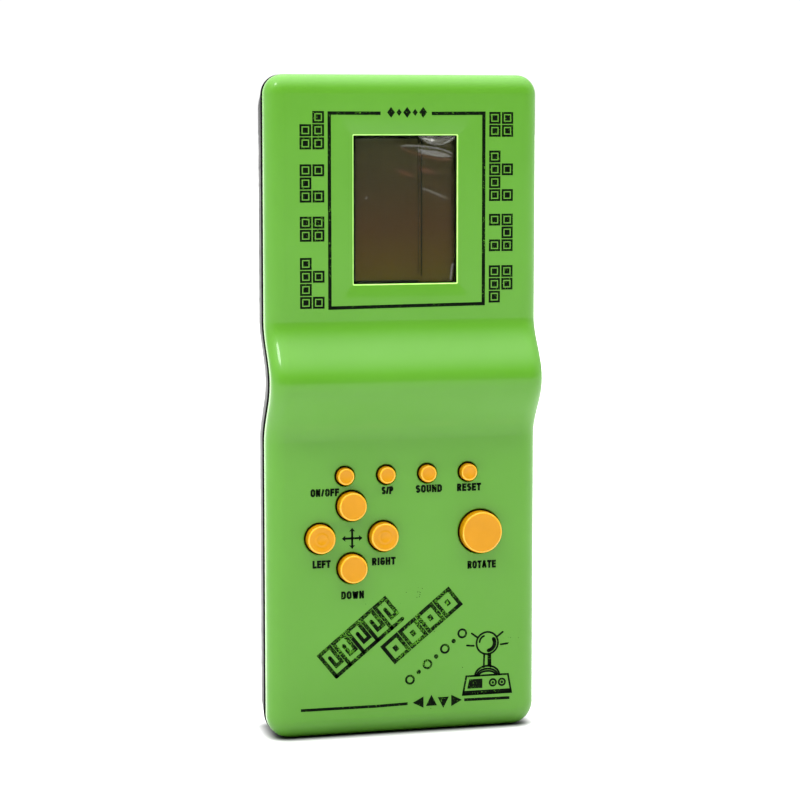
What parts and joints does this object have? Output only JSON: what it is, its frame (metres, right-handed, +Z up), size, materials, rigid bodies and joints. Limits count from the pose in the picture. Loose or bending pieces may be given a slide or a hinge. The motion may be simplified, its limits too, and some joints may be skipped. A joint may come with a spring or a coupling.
{
  "type": "handheld lcd game",
  "caption": "Upright handheld LCD game: waved two-shell case, recessed display window, round push buttons, rear battery cover.",
  "frame": {"origin": "Centre of the bounding box on the flat lower end that the game stands on.", "axes": "+Z up along the height, -Y out of the face, +Y out of the back, +X to the viewer's right."},
  "size_m": [0.078, 0.0306, 0.185],
  "materials": {
    "front_plastic": "moulded gloss green plastic, pad-printed black graphics",
    "rear_plastic": "moulded high-gloss black plastic",
    "button_plastic": "moulded semi-gloss orange plastic",
    "silicone": "matt grey silicone rubber",
    "board_laminate": "brown phenolic paper board with solder mask",
    "epoxy": "black epoxy drop",
    "display_glass": "thin float glass",
    "clear_film": "clear protective film, slightly wrinkled",
    "polariser": "dark olive polariser",
    "reflector": "grey reflective sheet",
    "white_plastic": "matt white moulding",
    "contact_rubber": "striped elastomer connector",
    "plated_steel": "nickel-plated steel",
    "speaker_brass": "plain brass disc",
    "speaker_ceramic": "silvered piezo ceramic",
    "cell_sleeve": "plain printed sleeve, no marks",
    "capacitor_sleeve": "shrink sleeve",
    "resistor_coating": "baked tan coating",
    "red_insulation": "red wire insulation",
    "black_insulation": "black wire insulation"
  },
  "bodies": {
    "case": {"front_shell": "front_plastic", "rear_shell": "rear_plastic", "main_board": "board_laminate", "cell_lower": "cell_sleeve", "cell_upper": "cell_sleeve", "keypad_mat": "silicone", "display_film": "clear_film", "polariser_front": "polariser", "glass_front": "display_glass", "glass_rear": "display_glass", "reflector": "reflector", "display_frame": "white_plastic", "zebra_strip_upper": "contact_rubber", "zebra_strip_lower": "contact_rubber", "chip_blob": "epoxy", "capacitor_can": "capacitor_sleeve", "resistor_upper": "resistor_coating", "resistor_lower": "resistor_coating", "ceramic_resonator": "resistor_coating", "ceramic_capacitor": "resistor_coating", "contact_link": "plated_steel", "contact_positive": "plated_steel", "contact_negative": "plated_steel", "spring_link": "plated_steel", "spring_negative": "plated_steel", "wire_positive": "red_insulation", "wire_negative": "black_insulation", "wire_speaker_inner": "red_insulation", "wire_speaker_outer": "black_insulation", "speaker_disc": "speaker_brass", "speaker_ceramic": "speaker_ceramic", "case_screw_lower_left": "plated_steel", "case_screw_lower_right": "plated_steel", "case_screw_upper_left": "plated_steel", "case_screw_upper_right": "plated_steel", "board_screw_middle": "plated_steel", "board_screw_left": "plated_steel", "board_screw_right": "plated_steel", "board_screw_upper_left": "plated_steel", "board_screw_upper_right": "plated_steel"},
    "cover": {"battery_cover": "rear_plastic"},
    "key_on_off": {"button_on_off": "button_plastic"},
    "key_start_pause": {"button_start_pause": "button_plastic"},
    "key_sound": {"button_sound": "button_plastic"},
    "key_reset": {"button_reset": "button_plastic"},
    "key_up": {"button_up": "button_plastic"},
    "key_left": {"button_left": "button_plastic"},
    "key_right": {"button_right": "button_plastic"},
    "key_down": {"button_down": "button_plastic"},
    "key_rotate": {"button_rotate": "button_plastic"}
  },
  "joints": [
    {"name": "cover_lift", "type": "slide", "parent": "case", "child": "cover", "axis": [0, 1, 0], "range_m": [0, 0.03]},
    {"name": "press_on_off", "type": "slide", "parent": "case", "child": "key_on_off", "axis": [0, 1, 0], "range_m": [0, 0.0012], "stiffness_N_per_m": 500, "springref_m": -0.0006, "deforming": ["keypad_mat"]},
    {"name": "press_start_pause", "type": "slide", "parent": "case", "child": "key_start_pause", "axis": [0, 1, 0], "range_m": [0, 0.0012], "stiffness_N_per_m": 500, "springref_m": -0.0006, "deforming": ["keypad_mat"]},
    {"name": "press_sound", "type": "slide", "parent": "case", "child": "key_sound", "axis": [0, 1, 0], "range_m": [0, 0.0012], "stiffness_N_per_m": 500, "springref_m": -0.0006, "deforming": ["keypad_mat"]},
    {"name": "press_reset", "type": "slide", "parent": "case", "child": "key_reset", "axis": [0, 1, 0], "range_m": [0, 0.0012], "stiffness_N_per_m": 500, "springref_m": -0.0006, "deforming": ["keypad_mat"]},
    {"name": "press_up", "type": "slide", "parent": "case", "child": "key_up", "axis": [0, 1, 0], "range_m": [0, 0.0012], "stiffness_N_per_m": 500, "springref_m": -0.0006, "deforming": ["keypad_mat"]},
    {"name": "press_left", "type": "slide", "parent": "case", "child": "key_left", "axis": [0, 1, 0], "range_m": [0, 0.0012], "stiffness_N_per_m": 500, "springref_m": -0.0006, "deforming": ["keypad_mat"]},
    {"name": "press_right", "type": "slide", "parent": "case", "child": "key_right", "axis": [0, 1, 0], "range_m": [0, 0.0012], "stiffness_N_per_m": 500, "springref_m": -0.0006, "deforming": ["keypad_mat"]},
    {"name": "press_down", "type": "slide", "parent": "case", "child": "key_down", "axis": [0, 1, 0], "range_m": [0, 0.0012], "stiffness_N_per_m": 500, "springref_m": -0.0006, "deforming": ["keypad_mat"]},
    {"name": "press_rotate", "type": "slide", "parent": "case", "child": "key_rotate", "axis": [0, 1, 0], "range_m": [0, 0.0012], "stiffness_N_per_m": 500, "springref_m": -0.0006, "deforming": ["keypad_mat"]}
  ]
}
